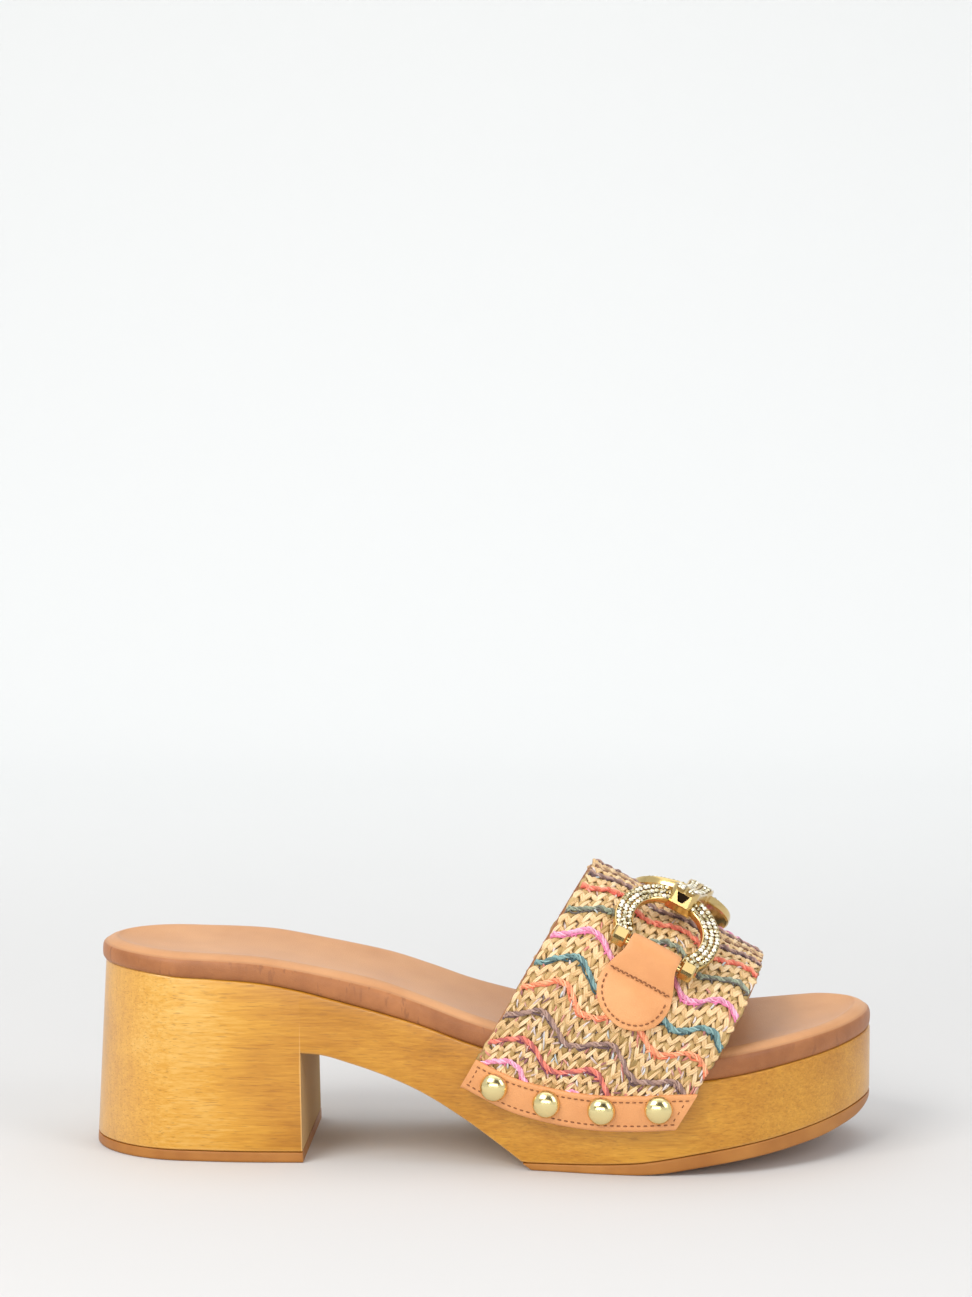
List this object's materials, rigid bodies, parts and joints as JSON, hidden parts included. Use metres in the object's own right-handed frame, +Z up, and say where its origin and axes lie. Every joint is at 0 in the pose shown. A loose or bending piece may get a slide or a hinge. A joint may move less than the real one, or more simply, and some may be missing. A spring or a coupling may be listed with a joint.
{
  "type": "platform mule",
  "caption": "Right-foot platform mule with a lacquered wooden sole, a woven straw band with a gold horse bit and leather tabs, and rubber treads",
  "frame": {"origin": "centre of the shoe's footprint box, on the floor", "axes": "+X towards the toe, +Y towards the medial side of a right foot, +Z up"},
  "size_m": [0.255, 0.1056, 0.0931],
  "materials": {
    "lacquered_wood": "clear satin lacquer over pale wood, horizontal grain",
    "amber_rubber": "satin moulded rubber",
    "footbed_leather": "smooth tan lining leather, padded",
    "woven_straw": "braided straw with wavy coloured yarns",
    "strip_leather": "vegetable-tanned leather, cut edges",
    "gold_stud": "polished pale gold",
    "gold_hardware": "polished pale gold with clear crystals",
    "tab_leather": "vegetable-tanned leather, stitched"
  },
  "bodies": {
    "root": {"wood_sole": "lacquered_wood", "heel_top_lift": "amber_rubber", "forefoot_outsole": "amber_rubber", "footbed": "footbed_leather", "upper": "woven_straw", "side_strip_lateral": "strip_leather", "side_strip_medial": "strip_leather", "stud_lateral_1": "gold_stud", "stud_lateral_2": "gold_stud", "stud_lateral_3": "gold_stud", "stud_lateral_4": "gold_stud", "stud_medial_1": "gold_stud", "stud_medial_2": "gold_stud", "stud_medial_3": "gold_stud", "stud_medial_4": "gold_stud", "bit_ring_lateral": "gold_hardware", "bit_ring_medial": "gold_hardware", "bit_link": "gold_hardware", "tab_lateral": "tab_leather", "tab_medial": "tab_leather"}
  },
  "joints": []
}
